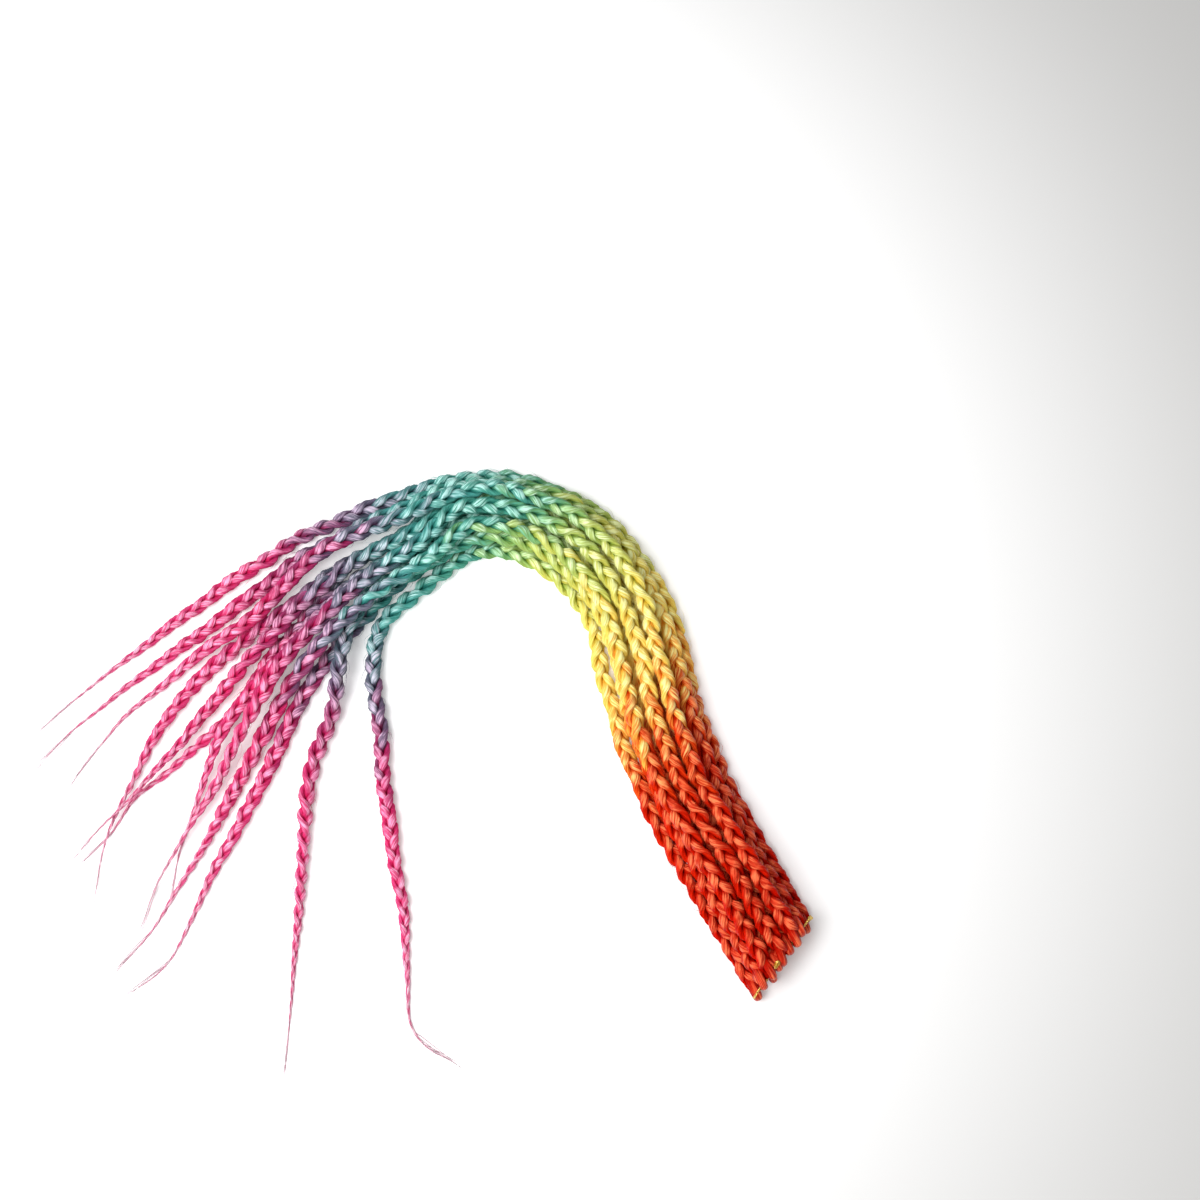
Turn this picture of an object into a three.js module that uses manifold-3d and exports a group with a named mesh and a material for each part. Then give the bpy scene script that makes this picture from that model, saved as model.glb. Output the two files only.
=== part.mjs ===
// A pack of twelve box braids with crochet loops, lying in a bend with its tails fanned out.
// Millimetres, +Z up, the surface under the braids is z = 0.
import * as THREE from 'three';
import Module from 'manifold-3d';

const wasm = await Module();
wasm.setup();

// Sizes of one braid
const braid_length = 600;          // 24 inch braid, from its loop to the tip of the longest tail
const plait_width = 9.4;           // across the flats of the plait near the head
const loop_strand = 3.6;           // folded hair round the eye of the crochet loop
const loop_reach = 8;              // straight part of the loop's two legs
const head_round = 0.72;           // width of the plait's first ring, as a share of plait_width
const plait_sides = 8;
const plait_rings = 46;

// How the braids lie together
const rest_gap = 0.45;             // air between two braids that touch
const lane_play = 0.1;             // spare room between two lanes
const hump_length = 42;            // run over which a braid rises onto another
const loop_skew = 0.44;            // the row of loops stands askew: run along the pack per width across
const first_heading = 120;         // degrees, the way the pack leaves its loops

// The tie
const tie_thick = 1.2;
const tie_overhang = 5;            // tie beyond the outermost loops
const knot_width = 4.2;

const lane_pitch = plait_width + rest_gap + lane_play;
const flat_to_corner = 1 / Math.cos(Math.PI / plait_sides);

// The bend that all braids share: length as a share of the braid, and turn in degrees
const shared_bend = [
  { run: 0.126, turn: -2 },
  { run: 0.108, turn: -14 },
  { run: 0.067, turn: 2 },
  { run: 0.108, turn: 40 },
  { run: 0.083, turn: 36 },
];

// Width of the plait as a share of plait_width, against the share of its length from the head
const taper = [
  { at: 0.00, width: 1.00 }, { at: 0.25, width: 1.00 }, { at: 0.48, width: 0.95 },
  { at: 0.65, width: 0.91 }, { at: 0.78, width: 0.86 }, { at: 0.86, width: 0.70 },
  { at: 0.93, width: 0.44 }, { at: 0.97, width: 0.26 }, { at: 1.00, width: 0.12 },
];

// One row a braid, in the order in which they lie on each other, lowest first.
// row: its layer in the pack, where braids of one row lie side by side.
// lanes: sideways place at the head, in the bend and at its end, counted in lanes to the inside.
// tail: its length past the bend as a share of the braid.
// turns: degrees off the end of the bend, at tail_stations down the tail.
const tail_stations = [0, 0.07, 0.18, 0.32, 0.46, 0.60, 0.74, 0.88, 1];
const braids = [
  { name: 'braid_01', row: 'low', lanes: [2, 2.3, 2], tail: 0.515,
    turns: [35, 45, 99, 92, 100, 96, 86, 164] },
  { name: 'braid_02', row: 'low', lanes: [1, 1, 1], tail: 0.513,
    turns: [52, 30, 51, 62, 65, 59, 68, 26] },
  { name: 'braid_03', row: 'low', lanes: [0, 0, 0], tail: 0.467,
    turns: [40, 22, 35, 52, 56, 30, 52, 47] },
  { name: 'braid_04', row: 'low', lanes: [-1, -1, -1], tail: 0.506,
    turns: [42, 23, 33, 37, 44, 61, 67, 84] },
  { name: 'braid_05', row: 'low', lanes: [-2, -2, -2], tail: 0.450,
    turns: [14, 18, 22, 33, 36, 35, 36, 42] },
  { name: 'braid_06', row: 'middle', lanes: [1.5, 1.5, 1.5], tail: 0.529,
    turns: [30, 28, 88, 64, 87, 84, 86, 82] },
  { name: 'braid_07', row: 'middle', lanes: [0.5, 0.5, 0.5], tail: 0.442,
    turns: [41, 22, 37, 49, 50, 67, 71, 81] },
  { name: 'braid_08', row: 'middle', lanes: [-0.5, -0.5, -0.5], tail: 0.473,
    turns: [39, 21, 36, 45, 50, 51, 44, 42] },
  { name: 'braid_09', row: 'middle', lanes: [-1.5, -1.5, -1.5], tail: 0.460,
    turns: [20, 22, 26, 36, 36, 34, 38, 46] },
  { name: 'braid_10', row: 'top', lanes: [1, 1.4, 1], tail: 0.504,
    turns: [46, 28, 43, 61, 63, 58, 58, 44] },
  { name: 'braid_11', row: 'top', lanes: [0, 0.35, 0], tail: 0.473,
    turns: [51, 29, 42, 48, 60, 60, 56, 73] },
  { name: 'braid_12', row: 'top', lanes: [-1, -0.65, -1], tail: 0.440,
    turns: [29, 13, 29, 46, 32, 36, 44, 62] },
];

const radians = (degrees) => degrees * Math.PI / 180;
const smooth = (t) => t * t * (3 - 2 * t);
const between = (a, b, t) => a + (b - a) * t;

// Value of a table column at a place, straight between its rows
function look_up(table, at, column) {
  let k = 1;
  while (k < table.length - 1 && table[k].at < at) k += 1;
  const a = table[k - 1], b = table[k];
  return between(a[column], b[column], Math.min(1, Math.max(0, (at - a.at) / (b.at - a.at))));
}

// Place and heading on the middle line of the pack, in steps of one part in a thousand of the braid
const step = braid_length / 1000;
function walk_shared_bend() {
  const places = [];
  let x = 0, y = 0, heading = first_heading;
  for (const { run, turn } of shared_bend) {
    const steps = Math.round(run * 1000);
    for (let i = 0; i < steps; i += 1) {
      const here = heading + turn * (i + 0.5) / steps;
      places.push({ x, y, heading: here });
      x += step * Math.cos(radians(here));
      y += step * Math.sin(radians(here));
    }
    heading += turn;
  }
  places.push({ x, y, heading });
  return places;
}
const middle = walk_shared_bend();
const bend_length = (middle.length - 1) * step;

// Place on the pack at a distance from the head and a distance to the inside
function on_pack(along, inside) {
  const i = Math.min(middle.length - 1, Math.max(0, Math.round(along / step)));
  const { x, y, heading } = middle[i];
  const spare = along - i * step, a = radians(heading);
  return { x: x + spare * Math.cos(a) - inside * Math.sin(a),
           y: y + spare * Math.sin(a) + inside * Math.cos(a), heading };
}

// Flat route of a braid, from its first crossing of tresses to its tip
function flat_route(braid) {
  const [head, mid, end] = braid.lanes.map((lane) => lane * lane_pitch);
  const begin = -loop_skew * head;
  const points = [];
  for (let s = begin; s < bend_length; s += step) {
    const t = (s - begin) / (bend_length - begin);
    const inside = t < 0.5 ? between(head, mid, smooth(2 * t)) : between(mid, end, smooth(2 * t - 1));
    points.push(on_pack(s, inside));
  }
  const last = on_pack(bend_length, end);
  const headings = [0, ...braid.turns].map((turn) => last.heading + turn);
  const tail = braid.tail * braid_length;
  let { x, y } = last;
  for (let s = 0; s < tail; s += step) {
    points.push({ x, y });
    const t = Math.min(1, (s + step / 2) / tail);
    const k = tail_stations.findIndex((station) => station >= t) - 1;
    const a = radians(between(headings[k], headings[k + 1],
      (t - tail_stations[k]) / (tail_stations[k + 1] - tail_stations[k])));
    x += step * Math.cos(a);
    y += step * Math.sin(a);
  }
  return points;
}

// Even samples of a flat route: four to each ring of the plait
const samples_a_ring = 4;
function even_samples(points) {
  const length = [0];
  for (let i = 1; i < points.length; i += 1) {
    length.push(length[i - 1] + Math.hypot(points[i].x - points[i - 1].x, points[i].y - points[i - 1].y));
  }
  const count = plait_rings * samples_a_ring, samples = [];
  let k = 1;
  for (let i = 0; i <= count; i += 1) {
    const want = length[length.length - 1] * i / count;
    while (k < points.length - 1 && length[k] < want) k += 1;
    const t = (want - length[k - 1]) / (length[k] - length[k - 1]);
    samples.push({ x: between(points[k - 1].x, points[k].x, t), y: between(points[k - 1].y, points[k].y, t),
                   s: want, half: plait_width / 2 * look_up(taper, i / count, 'width') });
  }
  return samples;
}

// Height that a braid needs over a lower one that passes this far to the side
function rest_height(reach, aside) {
  if (aside >= reach) return -Infinity;
  const flat = reach * Math.tan(Math.PI / plait_sides);
  return aside <= flat ? reach : reach + flat - aside;
}

// Spread braids of one row until they lie side by side, down to where the thin tails may cross
const side_by_side = 0.74;         // share of the braid down to which a row keeps its order
const spread_passes = 60;
const push_blur = 6;               // samples to each side over which a push is shared out
const flat = braids.map((braid) => even_samples(flat_route(braid)));
function spread_row(inner, outer) {
  inner.forEach((p, i) => {
    const room = Math.min(1, Math.max(0, (side_by_side - i / inner.length) * 10));
    if (room === 0) return;
    let q = outer[i];
    for (let j = Math.max(0, i - 12); j <= Math.min(outer.length - 1, i + 12); j += 1) {
      if (Math.hypot(p.x - outer[j].x, p.y - outer[j].y) < Math.hypot(p.x - q.x, p.y - q.y)) q = outer[j];
    }
    const a = inner[Math.max(0, i - 1)], b = inner[Math.min(inner.length - 1, i + 1)];
    const run = Math.hypot(b.x - a.x, b.y - a.y), left = { x: -(b.y - a.y) / run, y: (b.x - a.x) / run };
    const apart = (p.x - q.x) * left.x + (p.y - q.y) * left.y;
    const short = room * Math.max(0, p.half + q.half + rest_gap + lane_play - apart) / 4;
    p.push.x += left.x * short; p.push.y += left.y * short;
    q.push.x -= left.x * short; q.push.y -= left.y * short;
  });
}
for (let pass = 0; pass < spread_passes; pass += 1) {
  for (const samples of flat) for (const p of samples) p.push = { x: 0, y: 0 };
  braids.forEach((one, i) => braids.forEach((other, j) => {
    if (one.row === other.row && one.lanes[0] > other.lanes[0]) spread_row(flat[i], flat[j]);
  }));
  for (const samples of flat) {
    samples.forEach((p, i) => {
      for (const c of ['x', 'y']) {
        let sum = 0, weight = 0;
        for (let j = Math.max(0, i - push_blur); j <= Math.min(samples.length - 1, i + push_blur); j += 1) {
          const w = push_blur + 1 - Math.abs(i - j);
          sum += w * samples[j].push[c]; weight += w;
        }
        p['moved_' + c] = p[c] + sum / weight;
      }
    });
    for (const p of samples) { p.x = p.moved_x; p.y = p.moved_y; }
  }
}

// Lay the braids down one after the other, each on those already there
const ring_spacing = braid_length / plait_rings;
const laid = [];
for (const samples of flat) {
  for (const p of samples) {
    p.need = p.half;
    for (const other of laid) {
      for (const q of other) {
        const reach = p.half + q.half + rest_gap;
        const aside = Math.hypot(p.x - q.x, p.y - q.y);
        if (aside < reach) p.need = Math.max(p.need, q.z + rest_height(reach, aside));
      }
    }
  }
  for (const p of samples) {
    p.z = p.half;
    for (const q of samples) {
      const off = Math.max(0, Math.abs(p.s - q.s) - ring_spacing / 2) / hump_length;
      if (off < 1) {
        const lift = Math.max(0, q.need - q.half) * (1 + Math.cos(Math.PI * off)) / 2;
        p.z = Math.max(p.z, p.half + lift);
      }
    }
  }
  laid.push(samples);
}

// A closed mesh as a solid and back
function to_solid(geometry) {
  const merged = new Map(), numbers = [], index = [];
  const place = geometry.getAttribute('position');
  const order = geometry.index ? geometry.index.array : [...Array(place.count).keys()];
  for (const v of order) {
    const key = [place.getX(v), place.getY(v), place.getZ(v)].map((c) => Math.round(c * 1e4)).join();
    if (!merged.has(key)) {
      merged.set(key, numbers.length / 3);
      numbers.push(place.getX(v), place.getY(v), place.getZ(v));
    }
    index.push(merged.get(key));
  }
  const kept = [];
  for (let i = 0; i < index.length; i += 3) {
    const [a, b, c] = index.slice(i, i + 3);
    if (a !== b && b !== c && c !== a) kept.push(a, b, c);
  }
  return new wasm.Manifold(new wasm.Mesh({ numProp: 3, vertProperties: new Float32Array(numbers),
    triVerts: new Uint32Array(kept) }));
}
function to_geometry(solid) {
  const mesh = solid.getMesh();
  const geometry = new THREE.BufferGeometry();
  geometry.setAttribute('position', new THREE.BufferAttribute(new Float32Array(mesh.vertProperties), 3));
  geometry.setIndex(new THREE.BufferAttribute(new Uint32Array(mesh.triVerts), 1));
  geometry.computeVertexNormals();
  return geometry;
}

// The plait: an eight-sided rod with a flat underneath, bent along its samples and tapered
function plait_geometry(samples) {
  const rings = samples.filter((p, i) => i % samples_a_ring === 0);
  const rod = new THREE.CylinderGeometry(1, 1, 1, plait_sides, plait_rings);
  rod.rotateY(Math.PI / plait_sides);
  const place = rod.getAttribute('position');
  for (let v = 0; v < place.count; v += 1) {
    const k = Math.round((0.5 - place.getY(v)) * plait_rings);
    const before = rings[Math.max(0, k - 1)], after = rings[Math.min(plait_rings, k + 1)], p = rings[k];
    const along = new THREE.Vector3(after.x - before.x, after.y - before.y, after.z - before.z).normalize();
    const left = new THREE.Vector3(-along.y, along.x, 0).normalize();
    const up = new THREE.Vector3().crossVectors(along, left);
    const size = p.half * flat_to_corner * (k === 0 ? head_round : 1);
    const point = new THREE.Vector3(p.x, p.y, p.z)
      .addScaledVector(left, place.getX(v) * size).addScaledVector(up, place.getZ(v) * size);
    place.setXYZ(v, point.x, point.y, point.z);
  }
  return rod;
}

// The crochet loop: a flat eye of folded hair on edge, its far end held at the height of the tie
const eye_height = plait_width - 2 * loop_strand;
const loop_middle = loop_reach / 2 + plait_width / 2 - loop_strand;
const tie_reach = loop_middle + loop_reach / 2;
function loop_geometry(samples, tie_height) {
  const loop = new THREE.TorusGeometry((eye_height + loop_strand) / 2, loop_strand / 2, 6, 12);
  const place = loop.getAttribute('position');
  for (let v = 0; v < place.count; v += 1) {
    const x = place.getX(v);
    if (Math.abs(x) > 1e-6) place.setX(v, x + Math.sign(x) * loop_reach / 2);
  }
  const start = samples[0], next = samples[samples_a_ring];
  const heading = Math.atan2(next.y - start.y, next.x - start.x);
  const tilt = Math.asin((tie_height - start.z) / tie_reach);
  const turn = new THREE.Matrix4().makeRotationX(Math.PI / 2)
    .premultiply(new THREE.Matrix4().makeTranslation(loop_middle, 0, 0))
    .premultiply(new THREE.Matrix4().makeRotationY(-tilt))
    .premultiply(new THREE.Matrix4().makeRotationZ(heading + Math.PI))
    .premultiply(new THREE.Matrix4().makeTranslation(start.x, start.y, start.z));
  return loop.applyMatrix4(turn);
}

// The two passes of the tie: through the lowest row of loops, and back through the two upper rows
const head_heights = laid.map((samples) => samples[0].z);
const low_pass = plait_width / 2;
const upper = head_heights.filter((z) => z > plait_width);
const high_pass = (Math.min(...upper) + Math.max(...upper)) / 2;
const high_reach = tie_reach * Math.cos(Math.asin((Math.max(...upper) - high_pass) / tie_reach));

const fibre = new THREE.MeshStandardMaterial({ color: 0xd9642c, roughness: 0.45, metalness: 0 });
const gold = new THREE.MeshStandardMaterial({ color: 0xc8a03c, roughness: 0.3, metalness: 1 });
const part = new THREE.Group();
part.name = 'crochet_braid_pack';

laid.forEach((samples, i) => {
  const tie_height = head_heights[i] > plait_width ? high_pass : low_pass;
  const body = to_solid(plait_geometry(samples)).add(to_solid(loop_geometry(samples, tie_height)));
  const mesh = new THREE.Mesh(to_geometry(body), fibre);
  mesh.name = braids[i].name;
  part.add(mesh);
});

// The tie: a closed thread on edge, along the askew row of loops, with its knot on the outer side
function tie_geometry() {
  const widest = Math.max(...braids.map((braid) => Math.abs(braid.lanes[0]))) * lane_pitch + tie_overhang;
  const rise = (high_pass - low_pass) / 2, points = [];
  const at = (inside, z) => {
    const reach = between(tie_reach, high_reach, (z - low_pass) / (high_pass - low_pass));
    const { x, y } = on_pack(-loop_skew * inside - reach, inside);
    return new THREE.Vector3(x, y, z);
  };
  for (const share of [1, 0.9, 0.3, -0.3, -0.9, -1]) points.push(at(share * widest, low_pass));
  points.push(at(-widest - rise / 2, low_pass + rise));
  for (const share of [-1, -0.9, -0.3, 0.3, 0.9, 1]) points.push(at(share * widest, high_pass));
  points.push(at(widest + rise / 2, low_pass + rise));
  const curve = new THREE.CatmullRomCurve3(points, true, 'centripetal');
  const thread = new THREE.TubeGeometry(curve, 40, tie_thick / 2, 6, true);
  const knot = new THREE.SphereGeometry(knot_width / 2, 8, 6);
  const seat = at(-widest - rise / 2, low_pass + rise);
  knot.translate(seat.x, seat.y, seat.z);
  return to_geometry(to_solid(thread).add(to_solid(knot)));
}
const tie = new THREE.Mesh(tie_geometry(), gold);
tie.name = 'tie_cord';
part.add(tie);

// Stand the pack on the surface, its middle over the origin
const box = new THREE.Box3().setFromObject(part);
const centre = box.getCenter(new THREE.Vector3());
for (const mesh of part.children) mesh.geometry.translate(-centre.x, -centre.y, -box.min.z);

export default part;
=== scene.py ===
# %% [markdown]
# # A pack of crochet braids, laid on a table
# The object is a pack of twelve ready-made box braids. Each braid is a plait of three tresses of
# synthetic hair, about two feet long, with a small folded loop at its head and a thin tail.
# A gold thread goes through the twelve loops and keeps the pack together. This lesson loads the plain
# rods that the solid model has, lays the same routes again, and then makes each real plait on them.

# %% Load the plain model
import math

import bmesh
import bpy
import numpy as np
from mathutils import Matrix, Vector


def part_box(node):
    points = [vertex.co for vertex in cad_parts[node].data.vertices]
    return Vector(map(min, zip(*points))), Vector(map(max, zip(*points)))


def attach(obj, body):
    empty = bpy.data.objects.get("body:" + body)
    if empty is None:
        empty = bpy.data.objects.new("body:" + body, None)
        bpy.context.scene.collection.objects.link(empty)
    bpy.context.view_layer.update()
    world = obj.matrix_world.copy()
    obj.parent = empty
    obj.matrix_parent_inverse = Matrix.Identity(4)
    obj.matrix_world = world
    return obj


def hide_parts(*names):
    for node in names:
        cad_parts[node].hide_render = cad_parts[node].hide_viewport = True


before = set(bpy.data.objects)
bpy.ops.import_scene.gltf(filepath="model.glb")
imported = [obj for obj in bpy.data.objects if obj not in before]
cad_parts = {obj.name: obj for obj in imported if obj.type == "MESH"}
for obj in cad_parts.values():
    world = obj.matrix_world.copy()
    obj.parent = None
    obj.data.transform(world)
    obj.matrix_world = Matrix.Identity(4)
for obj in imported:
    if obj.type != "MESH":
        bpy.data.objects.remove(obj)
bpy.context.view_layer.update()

# %% [markdown]
# ## Where each braid lies
# A braid has no shape of its own when it lies down: its route on the table gives it one. The twelve
# routes could be drawn by hand as curves, but then a change to one would leave the rest behind. Here
# each is one row of a short table, in the same numbers as the solid model, and a few small functions
# walk along them. The sizes are in metres, because Blender's unit is the metre.

# %% Sizes and tables
BRAID_LENGTH = 0.600
PLAIT_WIDTH = 0.0094
LOOP_STRAND = 0.0036
LOOP_REACH = 0.008
REST_GAP = 0.00045
LANE_PLAY = 0.0001
HUMP_LENGTH = 0.042
LOOP_SKEW = 0.44
FIRST_HEADING = 120
RINGS = 46
SAMPLES_A_RING = 4
LANE_PITCH = PLAIT_WIDTH + REST_GAP + LANE_PLAY
STEP = BRAID_LENGTH / 1000

SHARED_BEND = [(0.126, -2), (0.108, -14), (0.067, 2), (0.108, 40), (0.083, 36)]
TAPER_AT = [0.00, 0.25, 0.48, 0.65, 0.78, 0.86, 0.93, 0.97, 1.00]
TAPER_WIDTH = [1.00, 1.00, 0.95, 0.91, 0.86, 0.70, 0.44, 0.26, 0.12]
TAIL_STATIONS = [0, 0.07, 0.18, 0.32, 0.46, 0.60, 0.74, 0.88, 1]

# name, row, lanes at the head, in the bend and at its end, tail as a share, turns down the tail
BRAIDS = [
    ("braid_01", "low", (2, 2.3, 2), 0.515, (35, 45, 99, 92, 100, 96, 86, 164)),
    ("braid_02", "low", (1, 1, 1), 0.513, (52, 30, 51, 62, 65, 59, 68, 26)),
    ("braid_03", "low", (0, 0, 0), 0.467, (40, 22, 35, 52, 56, 30, 52, 47)),
    ("braid_04", "low", (-1, -1, -1), 0.506, (42, 23, 33, 37, 44, 61, 67, 84)),
    ("braid_05", "low", (-2, -2, -2), 0.450, (14, 18, 22, 33, 36, 35, 36, 42)),
    ("braid_06", "middle", (1.5, 1.5, 1.5), 0.529, (30, 28, 88, 64, 87, 84, 86, 82)),
    ("braid_07", "middle", (0.5, 0.5, 0.5), 0.442, (41, 22, 37, 49, 50, 67, 71, 81)),
    ("braid_08", "middle", (-0.5, -0.5, -0.5), 0.473, (39, 21, 36, 45, 50, 51, 44, 42)),
    ("braid_09", "middle", (-1.5, -1.5, -1.5), 0.460, (20, 22, 26, 36, 36, 34, 38, 46)),
    ("braid_10", "top", (1, 1.4, 1), 0.504, (46, 28, 43, 61, 63, 58, 58, 44)),
    ("braid_11", "top", (0, 0.35, 0), 0.473, (51, 29, 42, 48, 60, 60, 56, 73)),
    ("braid_12", "top", (-1, -0.65, -1), 0.440, (29, 13, 29, 46, 32, 36, 44, 62)),
]

# %% Walk along the bend that all braids share
def walk_shared_bend():
    places, x, y, heading = [], 0.0, 0.0, float(FIRST_HEADING)
    for run, turn in SHARED_BEND:
        steps = round(run * 1000)
        for i in range(steps):
            here = heading + turn * (i + 0.5) / steps
            places.append((x, y, here))
            x += STEP * math.cos(math.radians(here))
            y += STEP * math.sin(math.radians(here))
        heading += turn
    places.append((x, y, heading))
    return places


MIDDLE = walk_shared_bend()
BEND_LENGTH = (len(MIDDLE) - 1) * STEP


def on_pack(along, inside):
    i = min(len(MIDDLE) - 1, max(0, math.floor(along / STEP + 0.5)))
    x, y, heading = MIDDLE[i]
    spare, a = along - i * STEP, math.radians(heading)
    return (x + spare * math.cos(a) - inside * math.sin(a),
            y + spare * math.sin(a) + inside * math.cos(a))


print("shared bend", round(BEND_LENGTH, 3), "m")

# %% Flat route of one braid, then even samples of it
def flat_route(lanes, tail_share, turns):
    head, mid, end = (lane * LANE_PITCH for lane in lanes)
    begin, points = -LOOP_SKEW * head, []
    s = begin
    while s < BEND_LENGTH - 1e-12:
        t = (s - begin) / (BEND_LENGTH - begin)
        a, b, k = (head, mid, 2 * t) if t < 0.5 else (mid, end, 2 * t - 1)
        points.append(on_pack(s, a + (b - a) * k * k * (3 - 2 * k)))
        s += STEP
    x, y = on_pack(BEND_LENGTH, end)
    headings = [MIDDLE[-1][2] + turn for turn in (0, *turns)]
    tail, s = tail_share * BRAID_LENGTH, 0.0
    while s < tail - 1e-12:
        points.append((x, y))
        a = math.radians(np.interp((s + STEP / 2) / tail, TAIL_STATIONS, headings))
        x += STEP * math.cos(a)
        y += STEP * math.sin(a)
        s += STEP
    return np.array(points)


def even_samples(points):
    length = np.concatenate([[0], np.cumsum(np.hypot(*np.diff(points, axis=0).T))])
    share = np.linspace(0, 1, RINGS * SAMPLES_A_RING + 1)
    want = share * length[-1]
    return {"xy": np.stack([np.interp(want, length, points[:, k]) for k in (0, 1)], axis=1),
            "s": want, "half": PLAIT_WIDTH / 2 * np.interp(share, TAPER_AT, TAPER_WIDTH)}


flat = [even_samples(flat_route(lanes, tail, turns)) for _, _, lanes, tail, turns in BRAIDS]
print("braids", len(flat), "longest", round(max(f["s"][-1] for f in flat), 3), "m")

# %% [markdown]
# ## Laying the braids on each other
# Real braids that are dropped in a heap push each other aside and then lie in the hollows between
# those below. A physics simulation would give that, but slowly, and differently after each change.
# Instead, braids of one row are pushed apart until they touch, and then each braid is raised just as
# high as the ones already lying there ask for, with a long soft hump where it climbs over one.

# %% Spread each row, then rest each braid on the ones below
def spread_row(inner, outer, push_inner, push_outer):
    p, q = inner["xy"], outer["xy"]
    count = len(p)
    room = np.clip((0.74 - np.arange(count) / count) * 10, 0, 1)
    away = np.hypot(p[:, None, 0] - q[None, :, 0], p[:, None, 1] - q[None, :, 1])
    near = np.abs(np.arange(count)[:, None] - np.arange(count)[None, :]) <= 12
    j = np.argmin(np.where(near, away, 1.0), axis=1)
    run = p[np.minimum(np.arange(count) + 1, count - 1)] - p[np.maximum(np.arange(count) - 1, 0)]
    left = np.stack([-run[:, 1], run[:, 0]], axis=1) / np.hypot(*run.T)[:, None]
    apart = np.sum((p - q[j]) * left, axis=1)
    short = room * np.maximum(0, inner["half"] + outer["half"][j] + REST_GAP + LANE_PLAY - apart) / 4
    push_inner += left * short[:, None]
    np.add.at(push_outer, j, -left * short[:, None])


def soften(push):
    weights = 7 - np.abs(np.arange(-6, 7))
    total = np.convolve(np.ones(len(push)), weights, "same")
    return np.stack([np.convolve(push[:, k], weights, "same") / total for k in (0, 1)], axis=1)


for _ in range(60):
    pushes = [np.zeros_like(f["xy"]) for f in flat]
    for i, one in enumerate(BRAIDS):
        for j, other in enumerate(BRAIDS):
            if one[1] == other[1] and one[2][0] > other[2][0]:
                spread_row(flat[i], flat[j], pushes[i], pushes[j])
    for f, push in zip(flat, pushes):
        f["xy"] = f["xy"] + soften(push)


def rest_height(reach, aside):
    level = reach * math.tan(math.pi / 8)
    return np.where(aside >= reach, -1.0, np.where(aside <= level, reach, reach + level - aside))


for i, f in enumerate(flat):
    need = f["half"].copy()
    for g in flat[:i]:
        reach = f["half"][:, None] + g["half"][None, :] + REST_GAP
        aside = np.hypot(f["xy"][:, None, 0] - g["xy"][None, :, 0], f["xy"][:, None, 1] - g["xy"][None, :, 1])
        need = np.maximum(need, (g["z"][None, :] + rest_height(reach, aside)).max(axis=1))
    off = np.maximum(0, np.abs(f["s"][:, None] - f["s"][None, :]) - BRAID_LENGTH / RINGS / 2) / HUMP_LENGTH
    lift = np.maximum(0, need - f["half"])[None, :] * (1 + np.cos(np.pi * np.minimum(off, 1))) / 2
    f["z"] = f["half"] + lift.max(axis=1)
print("pack is", round(max((f["z"] + f["half"]).max() for f in flat), 4), "m high")

# %% Move the routes to where the solid model has them
low, high = (np.array(c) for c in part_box("braid_05"))
f5 = flat[4]
shift = np.array([low[0] - (f5["xy"][:, 0] - f5["half"] * 0.6).min(), 0.0])
shift[1] = high[1] - (f5["xy"][:, 1] + f5["half"]).max()
for f in flat:
    f["xy"] = f["xy"] + shift
print("shift", shift.round(4))

# %% [markdown]
# ## A camera above the table
# The braids are seen almost straight from above, with a long lens, so that near and far plaits keep
# nearly the same width. The camera is set by its angle and its distance from one point on the table,
# which is easier to correct than a place in space.

# %% Camera
CAMERA_ELEVATION = 78
VIEW_WIDTH = 0.648
AIM = Vector((MIDDLE[-1][0] + shift[0] + 0.065, MIDDLE[-1][1] + shift[1] - 0.047, 0.0))

camera_data = bpy.data.cameras.new("camera")
camera_data.lens = 60
camera_data.sensor_width = 36
camera = bpy.data.objects.new("camera", camera_data)
bpy.context.scene.collection.objects.link(camera)
distance = VIEW_WIDTH * camera_data.lens / camera_data.sensor_width
tilt = math.radians(CAMERA_ELEVATION)
camera.location = AIM + Vector((0, -math.cos(tilt), math.sin(tilt))) * distance
camera.rotation_euler = (AIM - camera.location).to_track_quat("-Z", "Y").to_euler()
bpy.context.scene.camera = camera
print("camera", round(distance, 3), "m away")

# %% [markdown]
# ## Colours of dyed synthetic hair
# The hair goes from orange through yellow, green and teal to magenta, and fades to pale pink at the
# tips. A painted image would do it, but the plait twists too much for one. A colour ramp along the
# braid's own length, kept in a UV map, follows every tress round its turns.
# Photo colours are written as sRGB numbers from 0 to 255, and the shader wants them linear.

# %% Colour helpers
def linear(r, g, b):
    return tuple((c / 12.92 if c <= 0.04045 else ((c + 0.055) / 1.055) ** 2.4)
                 for c in (r / 255, g / 255, b / 255)) + (1.0,)


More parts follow.
